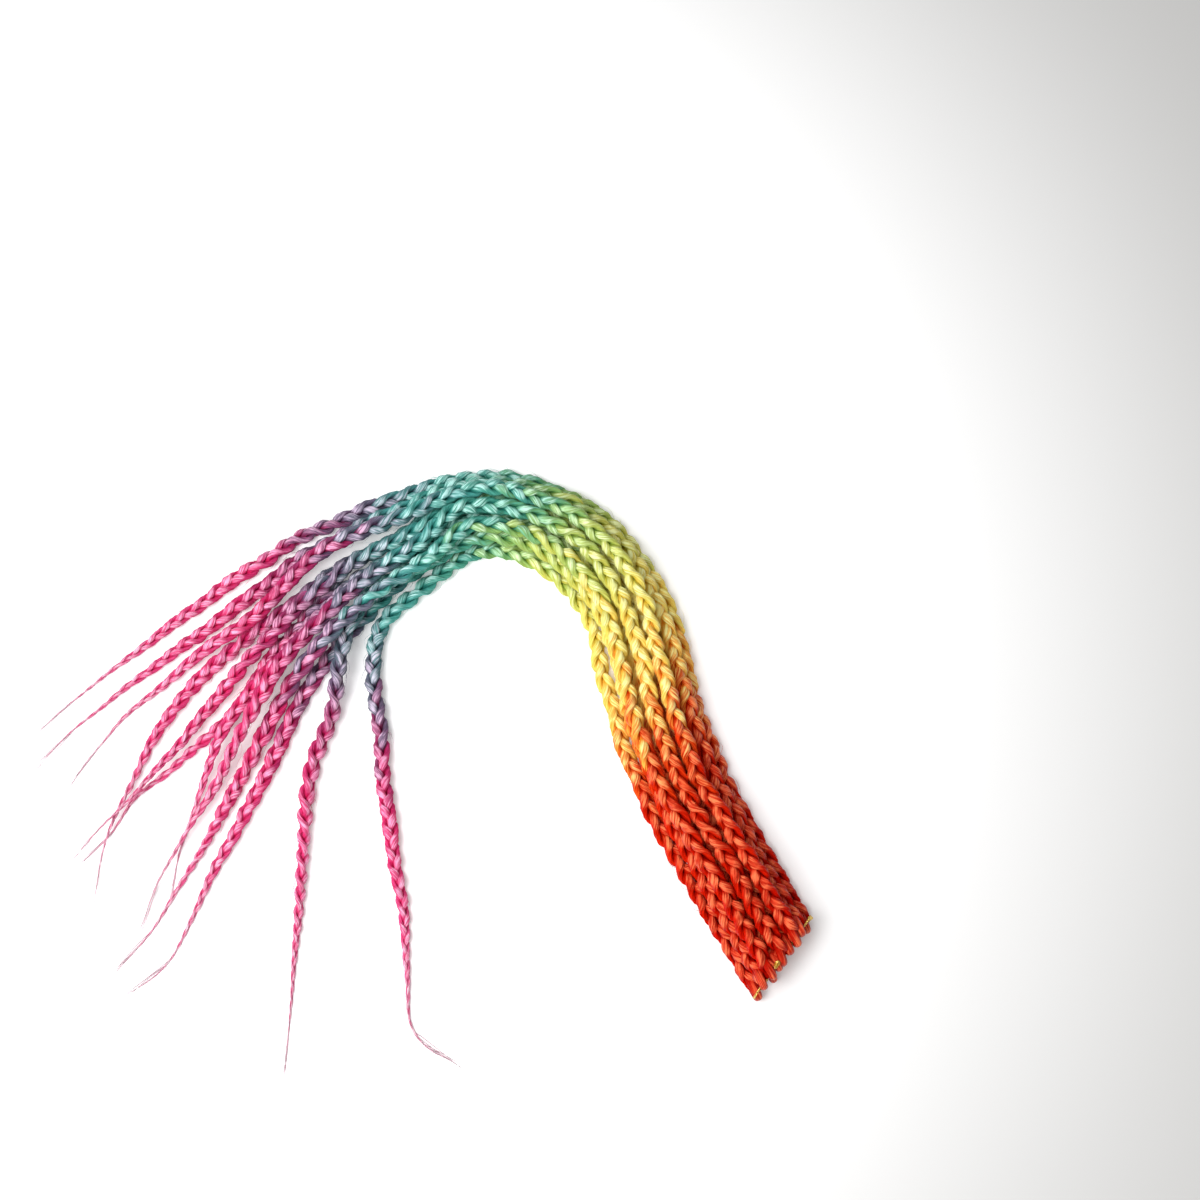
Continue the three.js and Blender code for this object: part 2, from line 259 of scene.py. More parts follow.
# share of the braid from its head, then the colour in the gaps (dye with painted shade), on the sides (the
# dye itself) and on the crowns (dye with a painted highlight)
SHADES = [
    (0.000, (140, 4, 0), (208, 18, 4), (240, 112, 72)),
    (0.150, (150, 8, 0), (220, 36, 8), (246, 124, 80)),
    (0.200, (168, 24, 2), (234, 70, 20), (250, 152, 92)),
    (0.225, (200, 60, 6), (246, 144, 58), (254, 206, 128)),
    (0.250, (226, 112, 24), (250, 194, 84), (254, 232, 146)),
    (0.285, (236, 172, 56), (250, 224, 112), (254, 246, 168)),
    (0.350, (204, 176, 54), (242, 228, 114), (254, 251, 176)),
    (0.400, (146, 164, 56), (210, 218, 112), (244, 251, 186)),
    (0.455, (74, 130, 72), (148, 196, 116), (218, 243, 190)),
    (0.502, (32, 108, 94), (92, 180, 158), (184, 234, 220)),
    (0.590, (30, 100, 96), (88, 174, 168), (186, 232, 228)),
    (0.636, (54, 54, 70), (108, 122, 138), (204, 206, 220)),
    (0.674, (84, 42, 72), (124, 98, 130), (208, 182, 208)),
    (0.722, (150, 20, 68), (184, 62, 118), (236, 168, 202)),
    (0.780, (196, 26, 80), (226, 62, 124), (246, 164, 202)),
    (0.880, (210, 46, 102), (234, 92, 148), (250, 184, 214)),
    (0.950, (232, 112, 152), (246, 152, 188), (254, 212, 228)),
    (1.000, (248, 196, 214), (253, 214, 226), (255, 236, 243)),
]

# %% [markdown]
# ## Fine fibres as a shared effect
# Close up, a tress is hundreds of straight hairs side by side. As geometry that would be millions of
# faces, so the hairs are a bump and a faint change of shade instead. Two stretched noise textures run
# along the tress: a narrow one for single hairs and a wide one for locks. They are a node group with
# named inputs, so that plaits, loops and thread can each use them with their own values.

# %% Node group: fine fibres
def new_group(name, inputs, outputs):
    group = bpy.data.node_groups.new(name, "ShaderNodeTree")
    for label, kind, value in inputs:
        group.interface.new_socket(label, in_out="INPUT", socket_type=kind).default_value = value
    for label, kind in outputs:
        group.interface.new_socket(label, in_out="OUTPUT", socket_type=kind)
    return group, group.nodes.new("NodeGroupInput"), group.nodes.new("NodeGroupOutput")


def add(tree, kind, **settings):
    node = tree.nodes.new(kind)
    for key, value in settings.items():
        setattr(node, key, value)
    return node


fibres, fibres_in, fibres_out = new_group(
    "fine_fibres",
    [("Hairs Around", "NodeSocketFloat", 26.0), ("Locks Around", "NodeSocketFloat", 11.0),
     ("Lock Share", "NodeSocketFloat", 0.55)],
    [("Height", "NodeSocketFloat"), ("Shade", "NodeSocketFloat"), ("Patch", "NodeSocketFloat")])
strand_uv = add(fibres, "ShaderNodeUVMap", uv_map="strand")
split = add(fibres, "ShaderNodeSeparateXYZ")
fibres.links.new(strand_uv.outputs["UV"], split.inputs[0])
noises = []
for socket, stretch in (("Hairs Around", 0.10), ("Locks Around", 0.16), (None, 0.22)):
    around = add(fibres, "ShaderNodeMath", operation="MULTIPLY")
    fibres.links.new(split.outputs["Y"], around.inputs[0])
    around.inputs[1].default_value = 1.0
    if socket:
        fibres.links.new(fibres_in.outputs[socket], around.inputs[1])
    along = add(fibres, "ShaderNodeMath", operation="MULTIPLY")
    fibres.links.new(split.outputs["X"], along.inputs[0])
    along.inputs[1].default_value = stretch
    joined = add(fibres, "ShaderNodeCombineXYZ")
    fibres.links.new(along.outputs[0], joined.inputs[0])
    fibres.links.new(around.outputs[0], joined.inputs[1])
    noise = add(fibres, "ShaderNodeTexNoise", noise_dimensions="2D")
    noise.inputs["Scale"].default_value = 1.0
    noise.inputs["Detail"].default_value = 2.0
    fibres.links.new(joined.outputs[0], noise.inputs["Vector"])
    noises.append(noise)
mixed = add(fibres, "ShaderNodeMix", data_type="FLOAT")
fibres.links.new(fibres_in.outputs["Lock Share"], mixed.inputs["Factor"])
fibres.links.new(noises[0].outputs["Fac"], mixed.inputs["A"])
fibres.links.new(noises[1].outputs["Fac"], mixed.inputs["B"])
fibres.links.new(mixed.outputs["Result"], fibres_out.inputs["Height"])
fibres.links.new(mixed.outputs["Result"], fibres_out.inputs["Shade"])
fibres.links.new(noises[2].outputs["Fac"], fibres_out.inputs["Patch"])
print("group", fibres.name)

# %% [markdown]
# ## The hair material
# Synthetic hair is smooth plastic with a strong dye. Light and shade are partly painted into its base
# colour: a deeper colour in the gaps between tresses is painted shade, and a paler tone where a tress
# bulges is a painted highlight. The ramp gives the dye, the attribute "lift" says how far out of the
# plait a point lies, and together they make painted shade in the gaps, the dye on the sides and a
# painted highlight on the crowns, where a second attribute marks the crest of each lobe.

# %% Material: dyed hair
DYE_AND_PAINTED_LIGHT_SCALE = (None, 1.00, 1.00, 1.00)


def dye_and_painted_light_ramp(tree, place, column):
    ramp = add(tree, "ShaderNodeValToRGB")
    stops = ramp.color_ramp.elements
    stops.remove(stops[-1])
    for i, row in enumerate(SHADES):
        stop = stops[0] if i == 0 else stops.new(row[0])
        stop.position = row[0]
        stop.color = [c * DYE_AND_PAINTED_LIGHT_SCALE[column] for c in linear(*row[column])[:3]] + [1.0]
    tree.links.new(place, ramp.inputs["Fac"])
    return ramp.outputs["Color"]


def soft_step(tree, value, low, high):
    step = add(tree, "ShaderNodeMapRange", interpolation_type="SMOOTHSTEP")
    step.inputs["From Min"].default_value = low
    step.inputs["From Max"].default_value = high
    tree.links.new(value, step.inputs["Value"])
    return step.outputs["Result"]


def mix_colours(tree, share, first, second):
    mix = add(tree, "ShaderNodeMix", data_type="RGBA")
    tree.links.new(share, mix.inputs["Factor"])
    tree.links.new(first, mix.inputs["A"])
    tree.links.new(second, mix.inputs["B"])
    return mix.outputs["Result"]


DYE_BLEED = 0.10


def hair_material():
    material = bpy.data.materials.new("dyed_hair")
    material.use_nodes = True
    tree = material.node_tree
    shader = tree.nodes["Principled BSDF"]
    dye_uv = add(tree, "ShaderNodeUVMap", uv_map="dye")
    dye_place = add(tree, "ShaderNodeSeparateXYZ")
    tree.links.new(dye_uv.outputs["UV"], dye_place.inputs[0])
    hairs = add(tree, "ShaderNodeGroup", node_tree=fibres)
    bled = add(tree, "ShaderNodeMath", operation="MULTIPLY_ADD")
    tree.links.new(hairs.outputs["Shade"], bled.inputs[0])
    bled.inputs[1].default_value = DYE_BLEED
    from_middle = add(tree, "ShaderNodeMath", operation="SUBTRACT")
    tree.links.new(dye_place.outputs["X"], from_middle.inputs[0])
    from_middle.inputs[1].default_value = DYE_BLEED / 2
    tree.links.new(from_middle.outputs[0], bled.inputs[2])
    painted_gap_shade, body, pale = (dye_and_painted_light_ramp(tree, bled.outputs[0], column) for column in (1, 2, 3))

    # Painted shade: where the lift is low, in the gaps between tresses, the base colour goes to the darker
    # gap column, and dark hair streaks pull it there too.
    lift = add(tree, "ShaderNodeAttribute", attribute_name="lift")
    crest_highlight = add(tree, "ShaderNodeAttribute", attribute_name="crest_highlight")
    streak = soft_step(tree, hairs.outputs["Shade"], 0.42, 0.58)
    thinned = add(tree, "ShaderNodeMapRange")
    thinned.inputs["To Min"].default_value = 0.45
    tree.links.new(streak, thinned.inputs["Value"])
    out_of_gap = add(tree, "ShaderNodeMath", operation="MULTIPLY")
    tree.links.new(soft_step(tree, lift.outputs["Fac"], 0.32, 0.78), out_of_gap.inputs[0])
    tree.links.new(thinned.outputs["Result"], out_of_gap.inputs[1])
    # Painted highlight: on the crests the base colour goes toward the pale column, in patches and along
    # single hairs.
    shining = add(tree, "ShaderNodeMath", operation="MULTIPLY")
    lifted = add(tree, "ShaderNodeMath", operation="MULTIPLY_ADD")
    patch = add(tree, "ShaderNodeMapRange")
    patch.inputs["From Min"].default_value = 0.30
    patch.inputs["From Max"].default_value = 0.70
    patch.inputs["To Min"].default_value = 0.35
    patch.inputs["To Max"].default_value = 1.25
    tree.links.new(hairs.outputs["Patch"], patch.inputs["Value"])
    tree.links.new(patch.outputs["Result"], lifted.inputs[1])
    lifted.inputs[2].default_value = 0.08
    tree.links.new(streak, lifted.inputs[0])
    tree.links.new(soft_step(tree, crest_highlight.outputs["Fac"], 0.25, 0.90), shining.inputs[0])
    tree.links.new(lifted.outputs[0], shining.inputs[1])
    side = mix_colours(tree, out_of_gap.outputs[0], painted_gap_shade, body)
    tree.links.new(mix_colours(tree, shining.outputs[0], side, pale), shader.inputs["Base Color"])
    tree.links.new(dye_and_painted_light_ramp(tree, dye_place.outputs["X"], 3), shader.inputs["Specular Tint"])

    shine = add(tree, "ShaderNodeMapRange")
    shine.inputs["To Min"].default_value = 0.22
    shine.inputs["To Max"].default_value = 0.38
    tree.links.new(hairs.outputs["Shade"], shine.inputs["Value"])
    tree.links.new(shine.outputs["Result"], shader.inputs["Roughness"])
    bump = add(tree, "ShaderNodeBump")
    bump.inputs["Strength"].default_value = 0.8
    bump.inputs["Distance"].default_value = 0.0013
    tree.links.new(hairs.outputs["Height"], bump.inputs["Height"])
    tree.links.new(bump.outputs["Normal"], shader.inputs["Normal"])
    gloss = add(tree, "ShaderNodeMapRange")
    gloss.inputs["From Min"].default_value = 0.05
    gloss.inputs["From Max"].default_value = 0.60
    gloss.inputs["To Min"].default_value = 0.0
    gloss.inputs["To Max"].default_value = 0.55
    tree.links.new(crest_highlight.outputs["Fac"], gloss.inputs["Value"])
    tree.links.new(gloss.outputs["Result"], shader.inputs["Specular IOR Level"])
    shader.inputs["Anisotropic"].default_value = 0.75
    run = add(tree, "ShaderNodeTangent", direction_type="UV_MAP", uv_map="strand")
    tree.links.new(run.outputs["Tangent"], shader.inputs["Tangent"])
    return material


HAIR = hair_material()
print("material", HAIR.name, "with", len(HAIR.node_tree.nodes), "nodes")

# %% [markdown]
# ## Rolling a sheet into a tress
# A tress is a bundle of hair, flattened where its neighbours press on it. It could be a curve with a
# bevel, but then it couldn't change its section or carry its own dye map. So it starts as a flat grid
# from an operator, with one column for each place round the section and one row for each step along,
# and each vertex goes to its place. The two long edges meet and are merged, and the ends are filled.

# %% Helper: roll a grid along a row of centres
PRESSED_FLAT = 0.00005


def roll_grid(bm, centres, thin, wide, half_thin, half_wide, sides, dye, strand,
              lift=None, crest_highlight=None, ripple=1.0, closed=False):
    rows = len(centres)
    dye_map = bm.loops.layers.uv.get("dye") or bm.loops.layers.uv.new("dye")
    strand_map = bm.loops.layers.uv.get("strand") or bm.loops.layers.uv.new("strand")
    # Two float layers carry masks for painted light: one for painted shade in the gaps, one for a painted
    # highlight on the crests. Without masks, a point gets no painted shade and a partial painted highlight.
    raised = bm.verts.layers.float.get("lift") or bm.verts.layers.float.new("lift")
    crowned = bm.verts.layers.float.get("crest_highlight") or bm.verts.layers.float.new("crest_highlight")
    made = bmesh.ops.create_grid(bm, x_segments=rows - 1, y_segments=sides, size=0.5)
    angle = 2 * math.pi * np.arange(sides + 1) / sides
    points = (centres[:, None, :]
              + wide[:, None, :] * (half_wide[:, None] * np.cos(angle) * ripple)[:, :, None]
              + thin[:, None, :] * (half_thin[:, None] * np.sin(angle) * ripple)[:, :, None])
    points[:, :, 2] = np.maximum(points[:, :, 2], PRESSED_FLAT)
    place, faces = {}, {}
    for v in made["verts"]:
        i, j = round((v.co.x + 0.5) * (rows - 1)), round((v.co.y + 0.5) * sides)
        place[v] = (i, j)
        faces.update(dict.fromkeys(v.link_faces))
    for v, (i, j) in place.items():
        v.co = points[i, j]
        v[raised] = 1.0 if lift is None else float(lift[i, j])
        v[crowned] = 0.5 if crest_highlight is None else float(crest_highlight[i, j])
    for face in faces:
        face.smooth = True
        for loop in face.loops:
            i, j = place[loop.vert]
            loop[dye_map].uv = (float(dye[i]), j / sides)
            loop[strand_map].uv = (float(strand[i]), j / sides)
    seam = [v for v, (i, j) in place.items() if j in (0, sides) or (closed and i in (0, rows - 1))]
    bmesh.ops.remove_doubles(bm, verts=seam, dist=1e-7)
    if not closed:
        rims = list(dict.fromkeys(e for face in faces for e in face.edges if e.is_boundary))
        bmesh.ops.holes_fill(bm, edges=rims, sides=sides)
    return points


def unit(v):
    return v / np.maximum(np.linalg.norm(v, axis=-1, keepdims=True), 1e-12)


# %% [markdown]
# ## Which way the head points
# The loop at the head leaves the plait straight ahead, but its far end has to meet the tie. The lowest
# row meets it level, and the two upper rows lean up or down to a pass that they share. Both the plait's
# first turns and the loop need this direction, so it is worked out once for each braid.

# %% Heads and the two passes of the tie
EYE_HEIGHT = PLAIT_WIDTH - 2 * LOOP_STRAND
LOOP_MIDDLE = LOOP_REACH / 2 + PLAIT_WIDTH / 2 - LOOP_STRAND
TIE_REACH = LOOP_MIDDLE + LOOP_REACH / 2
upper = [f["z"][0] for f in flat if f["z"][0] > PLAIT_WIDTH]
LOW_PASS = PLAIT_WIDTH / 2
HIGH_PASS = (min(upper) + max(upper)) / 2


def head_directions(f):
    start = np.array([*f["xy"][0], f["z"][0]])
    ahead = np.array([*(f["xy"][0] - f["xy"][4]), 0.0])
    ahead = ahead / np.linalg.norm(ahead)
    tie_height = HIGH_PASS if start[2] > PLAIT_WIDTH else LOW_PASS
    lean = math.asin((tie_height - start[2]) / TIE_REACH)
    rise = np.array([0, 0, 1.0])
    out = ahead * math.cos(lean) + rise * math.sin(lean)
    over = -ahead * math.sin(lean) + rise * math.cos(lean)
    return start, out, over


print("tie passes at", round(LOW_PASS, 4), "and", round(HIGH_PASS, 4), "m")

# %% [markdown]
# ## Three tresses in a plait
# In a plait each tress swings from side to side once while it goes over and under twice. Seen along
# the braid it draws a lying figure eight, and the three tresses follow one another a third of a swing
# apart. Written as two sines, that is the true crossing order, with no tress through another. The
# section turns as it goes, so that its flat side always lies against its neighbours.

# %% Sizes of the plait, as shares of half its width
SWING = 0.60
RISE = 0.46
TRESS_WIDE = 0.45
TRESS_THIN = 0.39
LOBE_PITCH = 1.27
PLAIT_ROWS = 470
TRESS_SIDES = 20
LOCKS = 5
LOCK_GROOVE = 0.085
rng = np.random.default_rng(11)


def smooth_noise(count, waves, size):
    t = np.linspace(0, 1, count)
    out = np.zeros(count)
    for k in range(1, waves + 1):
        out += rng.normal() * np.sin(2 * math.pi * (k * t + rng.random())) / math.sqrt(waves)
    return size * out


# %% Route of a braid with its own left and up
HEAD_COVER = 0.0080
SWAY = 0.0006
THIN_AT = [0.00, 0.25, 0.48, 0.65, 0.78, 0.85, 0.88, 0.92, 0.95, 0.98, 1.00]
THIN_WIDTH = [1.00, 1.00, 0.98, 0.96, 0.92, 0.70, 0.52, 0.29, 0.17, 0.09, 0.05]


def braid_frame(f, rows):
    length = f["s"][-1]
    kernel = np.array([1, 3, 5, 3, 1]) / 13
    raw = np.column_stack([f["xy"], f["z"]])
    padded = np.vstack([2 * raw[0] - raw[2:0:-1], raw, 2 * raw[-1] - raw[-2:-4:-1]])
    eased = np.stack([np.convolve(padded[:, k], kernel, "valid") for k in range(3)], axis=1)
    start, out, over = head_directions(f)
    places = np.concatenate([[-HEAD_COVER], f["s"]])
    eased = np.vstack([start + out * HEAD_COVER, eased])
    run = np.linspace(-HEAD_COVER, length, rows)
    centre = np.stack([np.interp(run, places, eased[:, k]) for k in range(3)], axis=1)
    for _ in range(3):
        centre[1:-1] = (centre[:-2] + 2 * centre[1:-1] + centre[2:]) / 4
    along = unit(np.gradient(centre, axis=0))
    left = unit(np.stack([-along[:, 1], along[:, 0], np.zeros(rows)], axis=1))
    centre = centre + left * (smooth_noise(rows, 16, SWAY) * np.clip(run / 0.03, 0, 1))[:, None]
    up = np.cross(along, left)
    half = PLAIT_WIDTH / 2 * np.interp(run / length, THIN_AT, THIN_WIDTH)
    centre[:, 2] -= np.maximum(0, np.interp(run, f["s"], f["half"]) - half)
    return run, centre, along, left, up, half


# %% Make the three tresses of one braid
def plait(bm, f, number, route):
    run, centre, along, left, up, half = route
    length = f["s"][-1]
    share = np.clip(run / length, 0, 1)
    roll = rng.uniform(-0.4, 0.4) + smooth_noise(PLAIT_ROWS, 7, 0.62)
    side = left * np.cos(roll)[:, None] + up * np.sin(roll)[:, None]
    top = -left * np.sin(roll)[:, None] + up * np.cos(roll)[:, None]
    pitch = LOBE_PITCH * (0.5 * PLAIT_WIDTH + 0.5 * 2 * half) * (1 + smooth_noise(PLAIT_ROWS, 16, 0.09))
    phase = rng.uniform(0, 6.28) - np.cumsum(2 * math.pi * (run[1] - run[0]) / (3 * pitch))
    gather = 1 - 0.30 * np.exp(-(run + HEAD_COVER) / 0.0030)
    for k in range(3):
        theta = phase + 2 * math.pi * k / 3
        swing = SWING * half * gather * (1 + smooth_noise(PLAIT_ROWS, 40, 0.08))
        x = swing * (np.sin(theta) - 0.11 * np.sin(3 * theta)) / 1.08
        z = RISE * half * gather * np.sin(2 * theta)
        middle = centre + side * x[:, None] + top * z[:, None]
        strand_run = unit(np.gradient(middle, axis=0))
        turn = math.pi / 2 - 1.92 * np.cos(theta)
        thin = side * np.sin(turn)[:, None] + top * np.cos(turn)[:, None]
        thin = unit(thin - strand_run * np.sum(thin * strand_run, axis=1, keepdims=True))
        wide = np.cross(strand_run, thin)
        uneven = 1 + smooth_noise(PLAIT_ROWS, 60, 0.10)
        puff = 0.80 + 0.40 * np.sin(2 * theta) ** 2
        half_wide = TRESS_WIDE * half * gather * uneven * puff
        half_thin = TRESS_THIN * half * gather * (2 - uneven)
        dye = np.clip(share + rng.normal() * 0.014 + smooth_noise(PLAIT_ROWS, 12, 0.011), 0.0, 1.0)
        strand = run * 1000 + number * 37 + k * 11
        angle = 2 * math.pi * np.arange(TRESS_SIDES + 1) / TRESS_SIDES
        drift = smooth_noise(PLAIT_ROWS, 24, 1.6)[:, None]
        ripple = 1 + LOCK_GROOVE * np.cos(LOCKS * angle[None, :] + drift)
        off = (wide[:, None, :] * (half_wide[:, None] * np.cos(angle) * ripple)[:, :, None]
               + thin[:, None, :] * (half_thin[:, None] * np.sin(angle) * ripple)[:, :, None])
        # Masks for painted light: the lift is small in the gaps, where painted shade goes, and the crest is
        # high on lobe tops and on faces turned up by a rolled plait, where a painted highlight goes.
        lift = np.linalg.norm(middle[:, None, :] + off - centre[:, None, :], axis=2) / half[:, None]
        outward = np.sum(off * top[:, None, :], axis=2) / half_thin[:, None]
        crest_highlight = np.clip(outward * np.sin(2 * theta)[:, None] * 1.15, 0, 1)
        upward = np.abs(off[:, :, 2]) / np.linalg.norm(off, axis=2)
        rolled = upward * np.clip((lift - 0.68) / 0.30, 0, 1) * np.abs(np.sin(roll))[:, None]
        crest_highlight = np.maximum(crest_highlight, rolled)
        roll_grid(bm, middle, thin, wide, half_thin, half_wide, TRESS_SIDES, dye, strand,
                  lift, crest_highlight, ripple)


# %% [markdown]
# ## The crochet loop
# At its head the hair is folded over a hook and back into the plait, which leaves a small eye. The
# loop stands on edge, so from above only its rounded back shows. It follows the outline of a
# stadium, and is rolled from a grid too, with the last row merged to the first.

# %% Make the loop at the head of a braid
def stadium(count):
    radius = (EYE_HEIGHT + LOOP_STRAND) / 2
    around = 2 * math.pi * radius + 2 * LOOP_REACH
    x, z = [], []
    for s in np.linspace(0, around, count, endpoint=True):
        if s < LOOP_REACH:
            x.append(-LOOP_REACH / 2 + s), z.append(radius)
        elif s < LOOP_REACH + math.pi * radius:
            a = (s - LOOP_REACH) / radius
            x.append(LOOP_REACH / 2 + radius * math.sin(a)), z.append(radius * math.cos(a))
        elif s < 2 * LOOP_REACH + math.pi * radius:
            x.append(LOOP_REACH / 2 - (s - LOOP_REACH - math.pi * radius)), z.append(-radius)
        else:
            a = (s - 2 * LOOP_REACH - math.pi * radius) / radius
            x.append(-LOOP_REACH / 2 - radius * math.sin(a)), z.append(-radius * math.cos(a))
    return np.array(x), np.array(z)


def crochet_loop(bm, f, number):
    start, out, over = head_directions(f)
    aside = np.cross(over, out)
    out = unit(out + aside * rng.normal() * 0.09)
    x, z = stadium(61)
    legs = np.clip((x + LOOP_REACH / 2 + 0.003) / 0.009, 0, 1)
    z = z * (0.15 + 0.85 * legs * legs * (3 - 2 * legs))
    x = x + rng.uniform(-0.0014, 0.0008)
    centres = start + out * (x + LOOP_MIDDLE)[:, None] + over * z[:, None]
    run = unit(np.gradient(np.vstack([centres[-2], centres, centres[1]]), axis=0)[1:-1])
    wide = np.repeat(np.cross(over, out)[None, :], len(centres), axis=0)
    thin = unit(np.cross(run, wide))
    count = len(centres)
    swell = 1 + 0.05 * np.sin(np.linspace(0, 4 * math.pi, count))
    half_thin = np.full(count, LOOP_STRAND / 2) * swell
    half_wide = np.full(count, 0.0023) * swell * rng.uniform(0.92, 1.08)
    half_thin[-1], half_wide[-1] = half_thin[0], half_wide[0]
    dye = np.full(count, 0.01)
    strand = np.linspace(0, 22, count) + number * 29
    angle = 2 * math.pi * np.arange(17) / 16
    # Masks for painted light on the loop: painted shade near where it leaves the plait and at its edges, and
    # a painted highlight toward its rounded back.
    outward = np.abs(np.sin(angle))[None, :] * np.clip((x - x.min()) / (x.max() - x.min()), 0, 1)[:, None]
    roll_grid(bm, centres, thin, wide, half_thin, half_wide, 16, dye, strand,
              lift=0.40 + 0.6 * outward, crest_highlight=outward, closed=True)


# %% [markdown]
# ## Wisps
# The last hairs of a tail are too short to be plaited and stand a little apart. A handful of thin
# tapered strands at each tip is enough to break its hard end, and one now and then springs out of the
# plait itself. They are rolled from very narrow grids.

# %% Make the wisps at a tip and a few flyaway hairs
FLYAWAYS = 56


def thin_hair(bm, points, thick, dye_share, number):
    count = len(points)
    run = unit(np.gradient(points, axis=0))
    wide = unit(np.cross(run, np.array([0.1, 0.2, 1.0])))
    thin = np.cross(wide, run)
    fade = thick * np.linspace(1.0, 0.35, count)
    roll_grid(bm, points, thin, wide, fade, fade, 4, np.full(count, dye_share),
              np.linspace(0, 10, count) + number)


def wisps(bm, centre, half, number):
    along = unit(centre[-1] - centre[-8])
    aside = unit(np.array([-along[1], along[0], 0.0]))
    for k in range(5):
        reach = rng.uniform(0.004, 0.010)
        spread, curl = rng.normal() * 0.0005, rng.normal() * 0.0004
        back = int(rng.integers(8, 20))
        t = np.linspace(0, 1, 12)
        base = centre[-back] + aside * rng.normal() * half[-back] * 0.2
        tip = centre[-1] + along * reach + aside * spread
        points = base + (tip - base) * t[:, None] + aside * (curl * np.sin(math.pi * t))[:, None]
        points[:, 2] = np.maximum(points[:, 2], 0.0003)
        thin_hair(bm, points, 0.00020, 0.985 + 0.01 * rng.random(), number * 20 + k)
    for k in range(FLYAWAYS):
        i = int(rng.integers(30, len(centre) - 70))
        ahead = unit(centre[i + 4] - centre[i])
        out = unit(np.array([-ahead[1], ahead[0], 0.0])) * rng.choice([-1, 1])
        t = np.linspace(0, 1, 10)
        span, bulge = rng.uniform(0.005, 0.016), rng.uniform(0.35, 0.85)
        points = (centre[i] + out * half[i] * 0.6 + ahead * (span * t)[:, None]
                  + out * (half[i] * bulge * np.sin(math.pi * t * rng.uniform(0.6, 1.0)))[:, None])
        points[:, 2] += half[i] * rng.uniform(-0.2, 0.7) * t
        thin_hair(bm, points, 0.00010, i / len(centre), number * 20 + k)


# %% [markdown]
# ## Putting a braid together
# Plait, loop and wisps go into one mesh, because they are the same hair. It takes the place of the
# plain rod of the same name and rides on the model's one body.

# %% Build the twelve braids
def finish_piece(bm, name, material, slot, *nodes):
    bmesh.ops.recalc_face_normals(bm, faces=bm.faces)
    mesh = bpy.data.meshes.new(name)
    bm.to_mesh(mesh)
    bm.free()
    mesh.materials.append(material)
    piece = bpy.data.objects.new(name, mesh)
    bpy.context.scene.collection.objects.link(piece)
    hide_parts(*nodes)
    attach(piece, "root")
    return piece


total = 0
for number, (f, row) in enumerate(zip(flat, BRAIDS), start=1):
    bm = bmesh.new()
    route = braid_frame(f, PLAIT_ROWS)
    wisps(bm, route[1], route[5], number)
    crochet_loop(bm, f, number)
    plait(bm, f, number, route)
    piece = finish_piece(bm, "plait_%02d" % number, HAIR, "braid_fibre", row[0])
    total += sum(len(p.vertices) - 2 for p in piece.data.polygons)
print("twelve braids,", total, "triangles")

# %% [markdown]
# ## The gold tie
# The pack is held by a thread of two gold plies, which goes through the lowest loops and back through
# the upper ones, and is knotted at the side. Each ply is a thin round strand that winds round the
# thread's middle line. Metal foil round a core shines hard, with the colour of brass.

# %% Material: gold foil thread
def foil_material():
    material = bpy.data.materials.new("gold_foil")
    material.use_nodes = True
    tree = material.node_tree
    shader = tree.nodes["Principled BSDF"]
    group = add(tree, "ShaderNodeGroup", node_tree=fibres)
    group.inputs["Hairs Around"].default_value = 12.0
    tint = add(tree, "ShaderNodeMix", data_type="RGBA")
    tint.inputs["A"].default_value = linear(196, 146, 40)
    tint.inputs["B"].default_value = linear(250, 224, 130)
    tree.links.new(group.outputs["Shade"], tint.inputs["Factor"])
    tree.links.new(tint.outputs["Result"], shader.inputs["Base Color"])
    bump = add(tree, "ShaderNodeBump")
    bump.inputs["Strength"].default_value = 0.5
    bump.inputs["Distance"].default_value = 0.0002
    tree.links.new(group.outputs["Height"], bump.inputs["Height"])
    tree.links.new(bump.outputs["Normal"], shader.inputs["Normal"])
    shader.inputs["Metallic"].default_value = 0.9
    shader.inputs["Roughness"].default_value = 0.3
    return material


FOIL = foil_material()

# %% Route of the tie
TIE_THICK = 0.0012
TIE_SNUG = 0.0015
BIGHT_AT = 0.25
BIGHT_RISE = 0.0055
KNOT_WIDTH = 0.0042
HIGH_REACH = TIE_REACH * math.cos(math.asin((max(upper) - HIGH_PASS) / TIE_REACH))


def tie_route():
    widest = 2 * LANE_PITCH + TIE_SNUG
    rise = (HIGH_PASS - LOW_PASS) / 2

    def at(inside, z):
        reach = TIE_REACH + (HIGH_REACH - TIE_REACH) * (z - LOW_PASS) / (HIGH_PASS - LOW_PASS)
        x, y = on_pack(-LOOP_SKEW * inside - reach, inside)
        return [x + shift[0], y + shift[1], z]

    points = [at(share * widest, LOW_PASS) for share in (1, 0.9, 0.3, -0.3, -0.9, -1)]
    points.append(at(-widest - TIE_SNUG, LOW_PASS + rise))
    points += [at(share * widest, HIGH_PASS) for share in (-1, -0.9, -0.3, BIGHT_AT - 0.14)]
    bight = at(BIGHT_AT * widest, HIGH_PASS + BIGHT_RISE)
    points.append(bight)
    points += [at(share * widest, HIGH_PASS) for share in (BIGHT_AT + 0.14, 0.9, 1)]
    points.append(at(widest + TIE_SNUG, LOW_PASS + rise))
    return np.array(points), np.array(at(-widest - TIE_SNUG, LOW_PASS + rise)), np.array(bight)


